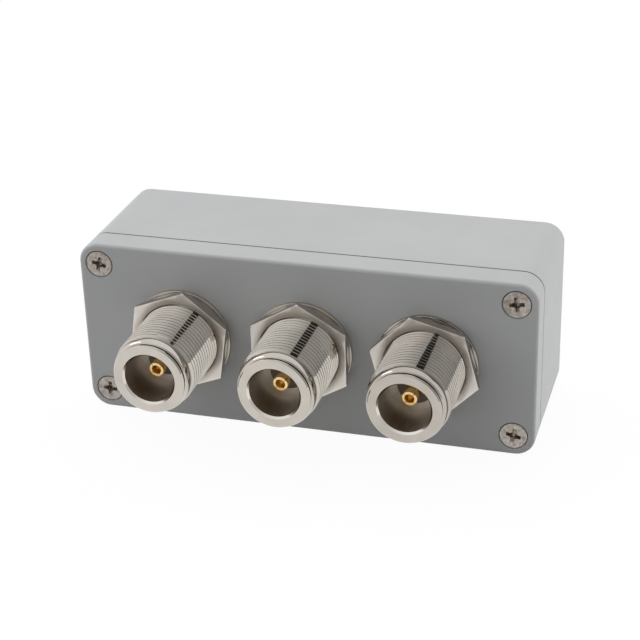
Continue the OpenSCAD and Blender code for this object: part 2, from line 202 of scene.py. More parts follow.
def turned_metal(name, dark, light, roughness, mark_depth, centre):
    """Plated metal with lathe marks round an axis along Y through centre."""
    material, tree, shader, place = new_material(name)
    shader.inputs["Metallic"].default_value = 1.0
    from_axis = add_node(tree, "ShaderNodeVectorMath", {0: place, 1: centre}, operation="SUBTRACT")
    flattened = add_node(tree, "ShaderNodeVectorMath",
                         {0: from_axis.outputs["Vector"], 1: (1, 0, 1)}, operation="MULTIPLY")
    radius = add_node(tree, "ShaderNodeVectorMath", {0: flattened.outputs["Vector"]},
                      operation="LENGTH")
    depth = add_node(tree, "ShaderNodeSeparateXYZ", {"Vector": place})
    rings = add_node(tree, "ShaderNodeCombineXYZ",
                     {"X": radius.outputs["Value"], "Y": depth.outputs["Y"]})
    marks = noise(tree, rings.outputs["Vector"], MARK_SIZE, detail=1.0)
    drift = noise(tree, place, TONE_DRIFT)
    tree.links.new(blend_colours(tree, drift, dark, light), shader.inputs["Base Color"])
    tree.links.new(spread(tree, drift, roughness * 0.85, roughness * 1.15),
                   shader.inputs["Roughness"])
    bump(tree, shader, marks, mark_depth)
    return material


def for_each_jack(name, dark, light, roughness, mark_depth):
    """The same turned metal about each of the three axes."""
    return {side: turned_metal(f"{name}_{side}", dark, light, roughness, mark_depth, centre)
            for side, centre in jack_centres.items()}


# Bright nickel mirrors the room crisply. The right jack's is a little darker in the photograph, so
# its tone is darkened here as painted shade
NICKEL_TONES = {"left": ("#BFB9B0", "#CBC5BD"), "middle": ("#BDB7AE", "#C9C3BA"),
                "right": ("#B4AEA5", "#C0B9B1")}
nickel = {side: turned_metal(f"bright_nickel_{side}", *NICKEL_TONES[side], 0.06, 0.001, centre)
          for side, centre in jack_centres.items()}
# A bored mouth is hard to polish, so its nickel stays dull and swallows the light
bores = for_each_jack("dull_nickel_bore", "#C4BCB2", "#CFC7BD", 0.35, 0.002)
# The mouth's rim is cut and burnished last. Its nickel is painted lighter than the rest, a painted
# highlight for the thin bright crescent it shows
rim_highlights = for_each_jack("burnished_rim_painted_highlight", "#D8D2CB", "#E2DDD7", 0.12, 0.001)
# A nut's face is turned and plated without polish, which gives an even satin grey
nut_nickel = for_each_jack("satin_nickel", "#D8D2CA", "#E2DCD5", 0.5, 0.002)
# Gold plate is warm and a little soft, and glows orange where it mirrors itself
gold = for_each_jack("gold_plate", "#E6C07C", "#F4DCA4", 0.22, 0.002)
print("turned metals:", sum(len(kind) for kind in (nickel, bores, rim_highlights, nut_nickel, gold)))

# %% [markdown]
# The lid screws are zinc-plated steel. Zinc is softer and duller than nickel, and goes mottled
# where a driver has been. A picture of scratches could be laid over it, but on a head five
# millimetres wide only the mottle shows, so its colour and roughness vary with one noise.

# %% Zinc plate
MOTTLE = 0.6


def mottled_zinc():
    material, tree, shader, place = new_material("mottled_zinc_plate")
    shader.inputs["Metallic"].default_value = 1.0
    spots = noise(tree, place, MOTTLE, detail=4.0)
    tree.links.new(blend_colours(tree, spots, "#857D76", "#BCB4AB"), shader.inputs["Base Color"])
    tree.links.new(spread(tree, spots, 0.30, 0.52), shader.inputs["Roughness"])
    bump(tree, shader, spots, 0.012)
    return material


zinc = mottled_zinc()
print("made", zinc.name)

# %% [markdown]
# Rubber, resin and lacquer need no pattern of their own. What tells them apart is how dark they
# are, how much they shine and how coarse the faint grain is that their mould or dip left. So one
# function makes all three. The insulators' resin is given a dark brown, which is painted shade for
# the deep mouths they sit in. The seals are matt black rubber. The capacitors' lacquer is deep blue
# and wet.

# %% Rubber, resin and lacquer


def moulded(name, dark, light, roughness, grain, grain_depth):
    """A plain material with a grain of that width and depth in millimetres."""
    material, tree, shader, place = new_material(name)
    fac = noise(tree, place, grain, detail=3.0)
    tree.links.new(blend_colours(tree, fac, dark, light), shader.inputs["Base Color"])
    shader.inputs["Roughness"].default_value = roughness
    bump(tree, shader, fac, grain_depth)
    return material


insulator_painted_shade = moulded("turned_resin_painted_shade", "#75695E", "#82766A", 0.45, 0.5, 0.01)
seal_rubber = moulded("moulded_seal_rubber", "#1F1F1F", "#2A2A2A", 0.75, 0.4, 0.01)
blue_lacquer = moulded("dipped_blue_lacquer", "#2B5C96", "#3468A4", 0.28, 1.2, 0.02)
print("made", insulator_painted_shade.name, seal_rubber.name, blue_lacquer.name)

# %% [markdown]
# The coils are wound from copper wire under clear enamel, a deep orange metal. The capacitors'
# leads are the same wire under tin, pale and a little softer. Wire is drawn through dies, which
# leaves it so even that only its tone drifts along it.

# %% Drawn wire
WIRE_DRIFT = 2.5


def drawn_wire(name, dark, light, roughness):
    material, tree, shader, place = new_material(name)
    shader.inputs["Metallic"].default_value = 1.0
    drift = noise(tree, place, WIRE_DRIFT)
    tree.links.new(blend_colours(tree, drift, dark, light), shader.inputs["Base Color"])
    tree.links.new(spread(tree, drift, roughness * 0.8, roughness * 1.2),
                   shader.inputs["Roughness"])
    return material


copper_wire = drawn_wire("enamelled_copper_wire", "#B4622F", "#C97C4A", 0.24)
tinned_wire = drawn_wire("tinned_copper_lead", "#B9B8B4", "#CDCCC9", 0.32)
print("made", copper_wire.name, tinned_wire.name)

# %% [markdown]
# The filter board is glass cloth in resin under green solder mask. The weave shows through as a
# faint grid of bricks, a millimetre wide where the real one has half of that, so that it shows.
# The copper under the mask makes it paler in areas with straight sides. A cell pattern that
# measures distance along the axes has such sides.

# %% Circuit board
WEAVE_SIZE = 1.0
COPPER_AREA, COPPER_EDGE = 9, (0.36, 0.38)


def masked_board():
    material, tree, shader, place = new_material("green_mask_on_glass_cloth")
    weave = add_node(tree, "ShaderNodeTexBrick",
                     {"Vector": place, "Scale": per_mm(WEAVE_SIZE), "Mortar Size": 0.08,
                      "Color1": linear("#1E5536"), "Color2": linear("#225C3B"),
                      "Mortar": linear("#1A4A30")})
    copper = add_node(tree, "ShaderNodeTexVoronoi",
                      {"Vector": place, "Scale": per_mm(COPPER_AREA)},
                      feature="F1", distance="CHEBYCHEV")
    pours = blend_colours(tree, copper.outputs["Distance"], "#FFFFFF", "#C4D8C4", *COPPER_EDGE)
    mask = add_node(tree, "ShaderNodeMix", {0: 1.0, 6: weave.outputs["Color"], 7: pours},
                    data_type="RGBA", blend_type="MULTIPLY")
    tree.links.new(mask.outputs[2], shader.inputs["Base Color"])
    shader.inputs["Roughness"].default_value = 0.35
    bump(tree, shader, weave.outputs["Fac"], 0.01)
    return material


green_board = masked_board()
print("made", green_board.name)

# %% [markdown]
# ## Modelling helpers
# Most of this object was turned on a lathe, so most pieces start as an outline of radius and
# height that is spun about Z. One function ends every piece: it welds, places, turns the faces
# outwards, smooths what is round and keeps sharp what is sharp.

# %% Spin and finish
STEPS = 120
SMALL_STEPS = 64
# Nearer than WELD, in millimetres, vertices are one. Nearer than NEAR, they are at the same place
WELD, NEAR = 0.0005, 0.01
SHARP = math.radians(25)


def lathe(bm, outline, steps=STEPS, closed=False):
    """Spins an outline of (radius, height) once round Z, and returns its vertices."""
    before = set(bm.verts)
    verts = [bm.verts.new((radius, 0, height)) for radius, height in outline]
    ends = verts[1:] + verts[:1] if closed else verts[1:]
    edges = [bm.edges.new(pair) for pair in zip(verts, ends)]
    bmesh.ops.spin(bm, geom=verts + edges, cent=(0, 0, 0), axis=(0, 0, 1), dvec=(0, 0, 0),
                   angle=math.tau, steps=steps, use_merge=True, use_duplicate=False)
    return [v for v in bm.verts if v not in before]


def to_mesh(name, bm):
    """Turns a bmesh into a mesh, and frees it."""
    mesh = bpy.data.meshes.new(name)
    bm.to_mesh(mesh)
    bm.free()
    return mesh


def add_object(name, data):
    """Puts a mesh, lamp or camera into the scene as an object."""
    made = bpy.data.objects.new(name, data)
    bpy.context.scene.collection.objects.link(made)
    return made


def finish_piece(name, bm, place, materials, node):
    """Welds a mesh in millimetres, sets it at its place and hands it to the frame."""
    bmesh.ops.remove_doubles(bm, verts=bm.verts, dist=WELD)
    bmesh.ops.transform(bm, matrix=place, verts=bm.verts)
    bmesh.ops.recalc_face_normals(bm, faces=bm.faces)
    mesh = to_mesh(name, bm)
    for material in materials:
        mesh.materials.append(material)
    mesh.shade_smooth()
    mesh.set_sharp_from_angle(angle=SHARP)
    piece = add_object(name, mesh)
    # Weighted normals keep flat faces flat beside their small bevels, and so in mirrors too
    weighted = piece.modifiers.new("flat faces stay flat", "WEIGHTED_NORMAL")
    weighted.keep_sharp = True
    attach(piece, "root")
    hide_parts(node)
    open_edges = 2 * len(mesh.edges) - sum(len(p.edge_keys) for p in mesh.polygons)
    print(name, "faces:", len(mesh.polygons), "open edges:", open_edges)


print("a full turn has", STEPS, "steps, or", SMALL_STEPS, "on thin pieces")

# %% [markdown]
# ## The threaded jacks
# The jack's coupling thread is 5/8-24 UNEF: 15.88 mm over the crests, 24 turns to the inch, so
# one turn every 1.058 mm. Rings would look nearly the same, but a thread climbs, and its ends show
# it. So a true helix is made: the whole thread's outline is spun once while it climbs one pitch,
# the last column lands on the first, one turn higher, and welds to it. The ragged ends are cut
# square with bisect_plane.

# %% Thread
CREST_R = 7.94
ROOT_R = 7.39
PITCH = 25.4 / 24
LEAD = 0.35
# One turn of the thread's outline, as shares of the pitch and heights from root to crest
THREAD_FORM = ((0.0, 0), (0.2, 0), (0.5, 1), (0.7, 1))
print("thread depth", round(CREST_R - ROOT_R, 2), "mm, pitch", round(PITCH, 3), "mm")


def cut_across(bm, height, **clear):
    """Cuts a mesh by a level plane. clear_inner drops what is below, clear_outer what is above."""
    bmesh.ops.bisect_plane(bm, geom=bm.verts[:] + bm.edges[:] + bm.faces[:], dist=1e-5,
                           plane_co=(0, 0, height), plane_no=(0, 0, 1), **clear)


def cut_thread(bm, low, high):
    """A tube with a true helical thread between two heights, open at both ends."""
    # It starts one and a half turns below, so that the ragged end falls away with the cut
    start = low - 1.5 * PITCH
    turns = math.ceil((high - start) / PITCH) + 1
    outline = [(ROOT_R + rise * (CREST_R - ROOT_R), start + (turn + share) * PITCH)
               for turn in range(turns) for share, rise in THREAD_FORM]
    outline.append((ROOT_R, start + turns * PITCH))
    verts = [bm.verts.new((radius, 0, height)) for radius, height in outline]
    edges = [bm.edges.new(pair) for pair in zip(verts, verts[1:])]
    bmesh.ops.spin(bm, geom=verts + edges, cent=(0, 0, 0), axis=(0, 0, 1),
                   dvec=(0, 0, PITCH / STEPS), angle=math.tau, steps=STEPS, use_merge=False,
                   use_duplicate=False)
    bmesh.ops.remove_doubles(bm, verts=bm.verts, dist=WELD)
    cut_across(bm, low, clear_inner=True)
    cut_across(bm, high, clear_outer=True)
    # The lead bevel: level cuts give it rings of vertices, which are then drawn in to a cone
    for share in (0, 0.25, 0.5, 0.75):
        cut_across(bm, high - LEAD * (1 - share))
    for v in bm.verts:
        limit = CREST_R - max(0, v.co.z - (high - LEAD))
        radius = v.co.xy.length
        if radius > limit:
            v.co.xy *= limit / radius


# %% [markdown]
# The smooth band in front of the thread is spun and bridged to it. The rest is one more turned
# outline: round the nose, through the mouth, and along the hidden neck and flange behind the lid.
# One closed mesh is worth the bridging, because nickel mirrors every gap between separate rings.

# %% Jack shells
JACK_REACH = (LID_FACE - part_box("middle_jack_shell")[0].y) / MM
THREAD_FRONT = JACK_REACH - 3.0
BAND_LENGTH = 2.25
BAND_FRONT = THREAD_FRONT + BAND_LENGTH
GROOVE_R, GROOVE_FRONT = 6.75, BAND_FRONT + 0.35
NOSE_R, NOSE_BEVEL = 7.11, 0.25
RIM_R, RIM_DEPTH = 5.3, 0.45
BORE_R, MOUTH_FLOOR = 4.95, JACK_REACH - 9.1
NECK_BORE_R, NECK_R, NECK_END = 3.5, 4.6, -9.5
FLANGE_R, FLANGE_FRONT, FLANGE_BACK = 9.8, -3.8, -5.8
# The band's outline is barrelled, and rounder still at its front edge
BAND_OUTLINE = [(radius, THREAD_FRONT + rise) for radius, rise in (
    (7.52, 0), (7.59, 0.3), (7.64, 0.6), (7.65, 0.9), (7.64, 1.2), (7.6, 1.5), (7.53, 1.8),
    (7.46, 2.0), (7.38, 2.12), (7.28, 2.2), (7.14, BAND_LENGTH), (GROOVE_R, BAND_LENGTH))]
NOSE_OUTLINE = (
    (GROOVE_R, BAND_FRONT), (GROOVE_R, GROOVE_FRONT), (NOSE_R, GROOVE_FRONT),
    (NOSE_R, JACK_REACH - NOSE_BEVEL), (NOSE_R - NOSE_BEVEL, JACK_REACH), (RIM_R, JACK_REACH),
    (BORE_R, JACK_REACH - RIM_DEPTH), (BORE_R, MOUTH_FLOOR), (NECK_BORE_R, MOUTH_FLOOR),
    (NECK_BORE_R, NECK_END), (NECK_R, NECK_END), (NECK_R, FLANGE_BACK), (FLANGE_R, FLANGE_BACK),
    (FLANGE_R, FLANGE_FRONT))
DARK_BORE, CUT_RIM_WITH_HIGHLIGHT = 1, 2


def level_rim(bm, height):
    """The open edges that lie at one height."""
    return [e for e in bm.edges
            if e.is_boundary and all(abs(v.co.z - height) < 1e-3 for v in e.verts)]


def jack_shell(side):
    bm = bmesh.new()
    cut_thread(bm, FLANGE_FRONT, THREAD_FRONT)
    lathe(bm, BAND_OUTLINE)
    bmesh.ops.bridge_loops(bm, edges=level_rim(bm, THREAD_FRONT))
    outside = set(bm.faces)
    lathe(bm, NOSE_OUTLINE)
    bmesh.ops.bridge_loops(bm, edges=level_rim(bm, FLANGE_FRONT))
    for f in bm.faces:
        if f in outside:
            continue
        middle = f.calc_center_median()
        if middle.xy.length < BORE_R + NEAR and middle.z > MOUTH_FLOOR - NEAR:
            f.material_index = DARK_BORE
        elif middle.xy.length < RIM_R and middle.z > JACK_REACH - RIM_DEPTH + NEAR:
            f.material_index = CUT_RIM_WITH_HIGHLIGHT
    finish_piece(f"{side}_threaded_jack", bm, jack_places[side],
                 (nickel[side], bores[side], rim_highlights[side]), f"{side}_jack_shell")


for side in SIDES:
    jack_shell(side)

# %% [markdown]
# ## Nuts and washers
# A thin hexagon nut starts as a turned ring: cones bevel its corners, a little in front and much
# more at the back, and its bore has a wide, shallow countersink. It could be a hexagon that is cut
# by cones. Here the ring is spun first, and its outer columns are then moved in to the hexagon,
# which draws the curved lines where the cones meet the flat sides without any cut.

# %% Nuts
WASHER_T = 0.8
NUT_T = 2.5
NUT_TOP = WASHER_T + NUT_T
NUT_STEPS = 144
# The ring before its sides are moved in to half the width across flats
BLANK_R = 12
HALF_FLATS = 9.55
FACE_R, FACE_SLOPE = 10.8, math.tan(math.radians(30))
SEAT_R, SEAT_SLOPE = 9.2, math.tan(math.radians(40))
SINK_R, SINK_END_R, SINK_DROP = 9.3, 8.2, 0.32
NUT_BORE, BORE_DROP = 7.63, 1.3
NUT_EDGE = 0.06
SIXTH, HALF_SIXTH = math.radians(60), math.radians(30)
# How far each nut's corner is turned about its jack in the photograph, in degrees
NUT_TURNS = {"left": 21.3, "middle": 30.1, "right": 44.8}
SATIN_FACE, BRIGHT_SIDE = 0, 1


def hexagon_radius(v):
    """Distance from the axis to the hexagon's side in the direction of a vertex."""
    from_side = (math.atan2(v.co.y, v.co.x) + HALF_SIXTH) % SIXTH - HALF_SIXTH
    return HALF_FLATS / math.cos(from_side)


def soften(bm, width):
    """Rounds the edges where two faces meet sharply."""
    edges = [e for e in bm.edges if len(e.link_faces) == 2 and e.calc_face_angle() > SHARP]
    bmesh.ops.bevel(bm, geom=edges, offset=width, offset_type="OFFSET", segments=2,
                    profile=0.5, affect="EDGES", material=-1, clamp_overlap=True)


def hex_nut(side):
    bm = bmesh.new()
    outline = ((NUT_BORE, WASHER_T), (SEAT_R, WASHER_T), (BLANK_R, WASHER_T), (BLANK_R, NUT_TOP),
               (FACE_R, NUT_TOP), (SINK_R, NUT_TOP), (SINK_END_R, NUT_TOP - SINK_DROP),
               (NUT_BORE, NUT_TOP - BORE_DROP))
    for v in lathe(bm, outline, steps=NUT_STEPS, closed=True):
        radius = v.co.xy.length
        outer = hexagon_radius(v)
        if radius > outer or radius > FACE_R + NEAR:
            v.co.xy *= outer / radius
        if radius > FACE_R + NEAR and v.co.z > NUT_TOP - NEAR:
            v.co.z -= max(0, outer - FACE_R) * FACE_SLOPE
        if radius > SEAT_R + NEAR and v.co.z < WASHER_T + NEAR:
            v.co.z += (outer - SEAT_R) * SEAT_SLOPE
    bmesh.ops.remove_doubles(bm, verts=bm.verts, dist=WELD)
    soften(bm, NUT_EDGE)
    # A corner stands at 30 degrees in the hexagon as it was made
    turn = Matrix.Rotation(math.radians(NUT_TURNS[side]) - HALF_SIXTH, 3, "Z")
    bmesh.ops.rotate(bm, cent=(0, 0, 0), verts=bm.verts, matrix=turn)
    # The turned front is satin, the drawn sides are bright
    bm.normal_update()
    for f in bm.faces:
        in_front = abs(f.normal.z) > 0.5 and f.calc_center_median().z > WASHER_T + 1
        f.material_index = SATIN_FACE if in_front else BRIGHT_SIDE
    finish_piece(f"{side}_hex_nut", bm, jack_places[side], (nut_nickel[side], nickel[side]),
                 "jack_nuts")


for side in SIDES:
    hex_nut(side)

# %% [markdown]
# The washer is stamped from sheet, so its front edge is rounded and its back edge is sharp. Its
# outline goes once round the section and is closed, which makes a ring in one spin. In the
# photograph the right washer shines as its jack does, and the other two hardly shine, so they get
# the duller nickel.

# %% Washers
WASHER_R, WASHER_BORE = 10.05, 7.97
WASHER_EDGE = 0.09


def flat_washer(side):
    bm = bmesh.new()
    outline = ((WASHER_BORE, 0), (WASHER_R, 0), (WASHER_R, WASHER_T - WASHER_EDGE),
               (WASHER_R - WASHER_EDGE / 3, WASHER_T - WASHER_EDGE / 3),
               (WASHER_R - WASHER_EDGE, WASHER_T), (WASHER_BORE, WASHER_T))
    lathe(bm, outline, closed=True)
    finish = nickel[side] if side == "right" else bores[side]
    finish_piece(f"{side}_flat_washer", bm, jack_places[side], (finish,),
                 "jack_washers")


for side in SIDES:
    flat_washer(side)

# %% [markdown]
# ## Carving
# Two pieces have forms that are punched or sawn into them: the screws' cross recess and the
# contacts' slots. They could be drawn face by face, but a hole is easiest as a boolean. A cutter is
# modelled and taken away by the exact solver, and the cutter is deleted. A punched wall slopes in
# towards the bottom, so the cutter's bottom may be smaller than its top.

# %% Carving
# A cutter stands that far out of the surface that it cuts, in millimetres
CUTTER_PROUD = 0.1


def carve(bm, cutter):
    """Takes the cutter's mesh away from bm, and returns what is left."""
    pair = []
    for source in (bm, cutter):
        bmesh.ops.recalc_face_normals(source, faces=source.faces)
        pair.append(add_object("carving", to_mesh("carving", source)))
    body, tool = pair
    cut = body.modifiers.new("cut", "BOOLEAN")
    cut.operation = "DIFFERENCE"
    cut.solver = "EXACT"
    cut.object = tool
    carved = bmesh.new()
    carved.from_object(body, bpy.context.evaluated_depsgraph_get())
    for part in pair:
        mesh = part.data
        bpy.data.objects.remove(part)
        bpy.data.meshes.remove(mesh)
    return carved


def tapered_slot(length, width, top, depth, turn, end_share=1, side_share=1):
    """A slot cutter along X whose bottom is smaller than its top by two shares."""
    bm = bmesh.new()
    bmesh.ops.create_cube(bm, size=1)
    for v in bm.verts:
        low = v.co.z < 0
        v.co = Vector((v.co.x * length * (end_share if low else 1),
                       v.co.y * width * (side_share if low else 1), top - depth if low else top))
    bmesh.ops.rotate(bm, cent=(0, 0, 0), verts=bm.verts,
                     matrix=Matrix.Rotation(math.radians(turn), 3, "Z"))
    return bm


print("cutters stand", CUTTER_PROUD, "mm out of what they cut")

# %% [markdown]
# The four countersunk screws sit a hair below the lid's face. Each is spun as head, cone and plain
# shank, and its cross is punched by two tapered cutters and a short cone where their arms meet.
# They could share one mesh, but a driver leaves every cross at an angle of its own, so each is
# carved by itself and the four are joined.

# %% Screws
# From the box's middle to a screw's axis, across and up
SCREW_X, SCREW_Z = 41.75, 13.95
HEAD_R, HEAD_DROP, HEAD_RIM, HEAD_EDGE = 2.68, 0.05, 0.25, 0.12
SHANK_R, SCREW_LENGTH = 1.5, 14
CROSS_LENGTH, CROSS_WIDTH, CROSS_DEPTH = 3.1, 0.8, 1.3
HUB_TIP_R, HUB_R = 0.4, 0.85
# How far each cross is turned, in degrees, by the screw's side and rise
SCREW_TURNS = {(-1, 1): -15, (1, 1): 8, (-1, -1): -5, (1, -1): -12}
LID_MIDDLE = centre_of("case_body")


def lid_screw(place_x, place_z, turn):
    bm = bmesh.new()
    top = -HEAD_DROP
    cone_end = top - HEAD_RIM - (HEAD_R - SHANK_R)
    end = top - SCREW_LENGTH
    lathe(bm, ((0, top), (HEAD_R - HEAD_EDGE, top), (HEAD_R - HEAD_EDGE / 4, top - HEAD_EDGE / 4),
               (HEAD_R, top - HEAD_EDGE), (HEAD_R, top - HEAD_RIM), (SHANK_R, cone_end),
               (SHANK_R, end + SHANK_R / 2), (SHANK_R / 2, end), (0, end)), steps=SMALL_STEPS)
    for quarter in (0, 90):
        bm = carve(bm, tapered_slot(CROSS_LENGTH, CROSS_WIDTH, top + CUTTER_PROUD, CROSS_DEPTH,
                                    turn + quarter, end_share=0.45, side_share=0.6))
    # The short cone widens the recess where its arms meet
    hub = bmesh.new()
    bmesh.ops.create_cone(hub, cap_ends=True, segments=8, radius1=HUB_TIP_R, radius2=HUB_R,
                          depth=CROSS_DEPTH + CUTTER_PROUD)
    hub_middle = top + (CUTTER_PROUD - CROSS_DEPTH) / 2
    bmesh.ops.translate(hub, vec=(0, 0, hub_middle), verts=hub.verts)
    bm = carve(bm, hub)
    bmesh.ops.transform(bm, matrix=Matrix.Translation((place_x, place_z, 0)), verts=bm.verts)
    return bm


def all_screws():
    joined = bmesh.new()
    for (side, rise), turn in SCREW_TURNS.items():
        single = to_mesh("single_screw", lid_screw(side * SCREW_X, rise * SCREW_Z, turn))
        joined.from_mesh(single)
        bpy.data.meshes.remove(single)
    finish_piece("cross_recess_screws", joined, upright_at(LID_MIDDLE.x, LID_MIDDLE.z), (zinc,),
                 "lid_screws")


all_screws()

# %% [markdown]
# ## Contacts
# Each centre contact is a turned pin with a socket in its tip. Two saw cuts part the tip into four
# springy fingers, which grip the plug's pin. The cuts are carved as the screws' crosses are, with
# straight walls, because a saw leaves none other.

# %% Contacts
TIP = JACK_REACH - 4.12
CONTACT_R, SOCKET_R, STEM_R, PIN_R = 1.52, 0.85, 1.05, 0.6
TIP_ROUND, SOCKET_LEAD, PIN_BEVEL = 0.2, 0.12, 0.1
SOCKET_DEPTH, DRILL_DEPTH = 4.1, 4.4
PIN_END = -11.9
SAW_WIDTH, SAW_DEPTH = 0.1, 2.6
CONTACT_TURNS = {"left": 37, "middle": 41, "right": 48}


def slotted_contact(side):
    bm = bmesh.new()
    lathe(bm, ((0, PIN_END), (PIN_R - PIN_BEVEL, PIN_END), (PIN_R, PIN_END + PIN_BEVEL),
               (PIN_R, NECK_END), (STEM_R, NECK_END), (STEM_R, MOUTH_FLOOR),
               (CONTACT_R, MOUTH_FLOOR), (CONTACT_R, TIP - TIP_ROUND),
               (CONTACT_R - TIP_ROUND * 0.3, TIP - TIP_ROUND * 0.3), (CONTACT_R - TIP_ROUND, TIP),
               (SOCKET_R + SOCKET_LEAD, TIP), (SOCKET_R, TIP - SOCKET_LEAD),
               (SOCKET_R, TIP - SOCKET_DEPTH), (0, TIP - DRILL_DEPTH)), steps=SMALL_STEPS)
    for quarter in (0, 90):
        bm = carve(bm, tapered_slot(2 * CONTACT_R + 1, SAW_WIDTH, TIP + CUTTER_PROUD, SAW_DEPTH,
                                    CONTACT_TURNS[side] + quarter))
    finish_piece(f"{side}_slotted_contact", bm, jack_places[side], (gold[side],),
                 f"{side}_contact")


for side in SIDES:
    slotted_contact(side)

# %% [markdown]
# ## The cast box
# The two cast halves are right as solids, walls, posts and seal groove included, so there is no
# need to model them again. But their meshes are loose triangles, whose seams would show in the
# gloss. A copy is merged, each flat side is dissolved to one face, and weighted normals keep it
# flat beside its rounded edges.

# %% Cast halves


def copy_of_solid(node):
    """A merged copy of a node's mesh, in millimetres."""
    bm = bmesh.new()
    bm.from_mesh(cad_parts[node].data)
    bmesh.ops.scale(bm, vec=(1 / MM, 1 / MM, 1 / MM), verts=bm.verts)
    bmesh.ops.remove_doubles(bm, verts=bm.verts, dist=WELD)
    return bm


def cast_half(name, node):
    bm = copy_of_solid(node)
    bmesh.ops.dissolve_limit(bm, angle_limit=math.radians(0.5), verts=bm.verts, edges=bm.edges)
    finish_piece(name, bm, Matrix.Scale(MM, 4), (enamel,), node)


cast_half("enamelled_case", "case_body")
cast_half("enamelled_lid", "lid")

# %% [markdown]
# ## Inside
# Six disc capacitors stand on the board. Each is dipped in lacquer down to the foot of its disc,
# and below that its two leads are bare tinned wire. A copy of the solid is cut at that line, so
# that each side of it takes its own material.

# %% Capacitors
# Where the lacquer ends, in millimetres along Y: a little behind the board's back
DIP_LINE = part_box("filter_board")[1].y / MM + 0.4
LACQUERED, BARE_LEAD = 0, 1


def dipped_capacitor(node):
    bm = copy_of_solid(node)
    bmesh.ops.bisect_plane(bm, geom=bm.verts[:] + bm.edges[:] + bm.faces[:], dist=1e-5,
                           plane_co=(0, DIP_LINE, 0), plane_no=(0, 1, 0))
    for f in bm.faces:
        f.material_index = LACQUERED if f.calc_center_median().y > DIP_LINE else BARE_LEAD
    finish_piece(f"dipped_{node}", bm, Matrix.Scale(MM, 4), (blue_lacquer, tinned_wire),
                 node)


for half in ("low", "high"):
    for place in ("inner", "middle", "outer"):
        dipped_capacitor(f"{half}_capacitor_{place}")

# %% [markdown]
# The other solids stay as they are: the board, the coils, the seals and the insulators. Their own
# mesh keeps its triangles, and only its material slots are filled.

# %% Finishes on the solids that stay
FINISHES = {"lid_gasket": seal_rubber, "filter_board": green_board}
for half in ("low", "high"):
    FINISHES[f"{half}_coil_inner"] = FINISHES[f"{half}_coil_outer"] = copper_wire
for side in SIDES:
    FINISHES[f"{side}_insulator"] = insulator_painted_shade
    FINISHES[f"{side}_jack_seal"] = seal_rubber
for node, material in FINISHES.items():
    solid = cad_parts[node].data
    solid.materials.clear()
    solid.materials.append(material)
print("solids with a new finish:", len(FINISHES))

# %% [markdown]
# ## Stage
# The photograph looks down on the box from the front right. Its camera was worked out from the
# box's edges and the jacks' circles, so it is given by its place and three angles instead of being
# aimed by eye. Colours are shown as they are written, without a film look.

# %% Camera
CAMERA_AT = Vector((87.943, -293.177, 167.323)) * MM
AZIMUTH, ELEVATION, ROLL = (math.radians(a) for a in (16.884, 26.147, -1.701))
# Focal length in picture widths, and the camera's film width in millimetres
FOCAL_WIDTHS = 1677.11 / 640
FILM = 36


def photo_camera():
    data = bpy.data.cameras.new("photo_camera")
    data.sensor_width = FILM
    data.lens = FOCAL_WIDTHS * FILM
    data.clip_start = 0.01
    back = Vector((math.sin(AZIMUTH) * math.cos(ELEVATION),
                   -math.cos(AZIMUTH) * math.cos(ELEVATION), math.sin(ELEVATION)))
    right = Vector((math.cos(AZIMUTH), math.sin(AZIMUTH), 0))
    up = back.cross(right)
    rolled_right = math.cos(ROLL) * right + math.sin(ROLL) * up
    rolled_up = math.cos(ROLL) * up - math.sin(ROLL) * right
    camera = add_object("photo_camera", data)
    turn = Matrix((rolled_right, rolled_up, back)).transposed().to_4x4()
    camera.matrix_world = Matrix.Translation(CAMERA_AT) @ turn
    return camera


camera = photo_camera()
bpy.context.scene.camera = camera
bpy.context.scene.view_settings.view_transform = "Standard"
print("camera lens:", round(camera.data.lens, 1), "mm on", FILM, "mm film")

# %% [markdown]
# The sky is white to the camera. What it does to the object is told apart by Light Path: it lights
# paint from the left, from behind and from above, and metal mirrors a white room with one dim side
# to the right of the camera. What stood there in the real room isn't known. Its levels were
# matched to the grey that the threads show in the photograph.

# %% World
DIM_SIDE = Vector((0.55, -0.8, 0.2)).normalized()
# What metal mirrors in the dim side's middle and at so many degrees from it, as shares of white
DIM_MIDDLE = 0.47
DIM_LEVELS = {22: 0.4, 36: 0.58, 54: 0.84, 78: 1.0}


def white_world(level, gain):
    """White to look at. It lights at level plus direction times gain."""
    world = bpy.data.worlds.new("studio")
    world.use_nodes = True
    tree = world.node_tree
    background = tree.nodes["Background"]
    toward = add_node(tree, "ShaderNodeTexCoord").outputs["Generated"]
    path = add_node(tree, "ShaderNodeLightPath")
    facing = add_node(tree, "ShaderNodeVectorMath", {0: toward, 1: DIM_SIDE},
                      operation="DOT_PRODUCT")
    mirrored = add_node(tree, "ShaderNodeValToRGB", {"Fac": facing.outputs["Value"]})
    stops = mirrored.color_ramp.elements
    stops[0].color = (1, 1, 1, 1)
    stops[1].color = (DIM_MIDDLE, DIM_MIDDLE, DIM_MIDDLE, 1)
    for degrees, share in DIM_LEVELS.items():
        stops.new(math.cos(math.radians(degrees))).color = (share, share, share, 1)
    tilt = add_node(tree, "ShaderNodeVectorMath", {0: toward, 1: gain}, operation="DOT_PRODUCT")
    falling = add_node(tree, "ShaderNodeMath", {0: tilt.outputs["Value"], 1: level},
                       operation="ADD")
    shiny = add_node(tree, "ShaderNodeMath",
                     {0: path.outputs["Is Glossy Ray"], 1: path.outputs["Is Transmission Ray"]},
                     operation="MAXIMUM")
    lit = add_node(tree, "ShaderNodeMix",
                   {0: shiny.outputs["Value"], 2: falling.outputs["Value"],
                    3: mirrored.outputs["Color"]}, data_type="FLOAT")
    seen = add_node(tree, "ShaderNodeMix",
                    {0: path.outputs["Is Camera Ray"], 2: lit.outputs[0], 3: 1.0},
                    data_type="FLOAT")
    tree.links.new(seen.outputs[0], background.inputs["Strength"])
    background.inputs["Color"].default_value = (1, 1, 1, 1)
    bpy.context.scene.world = world


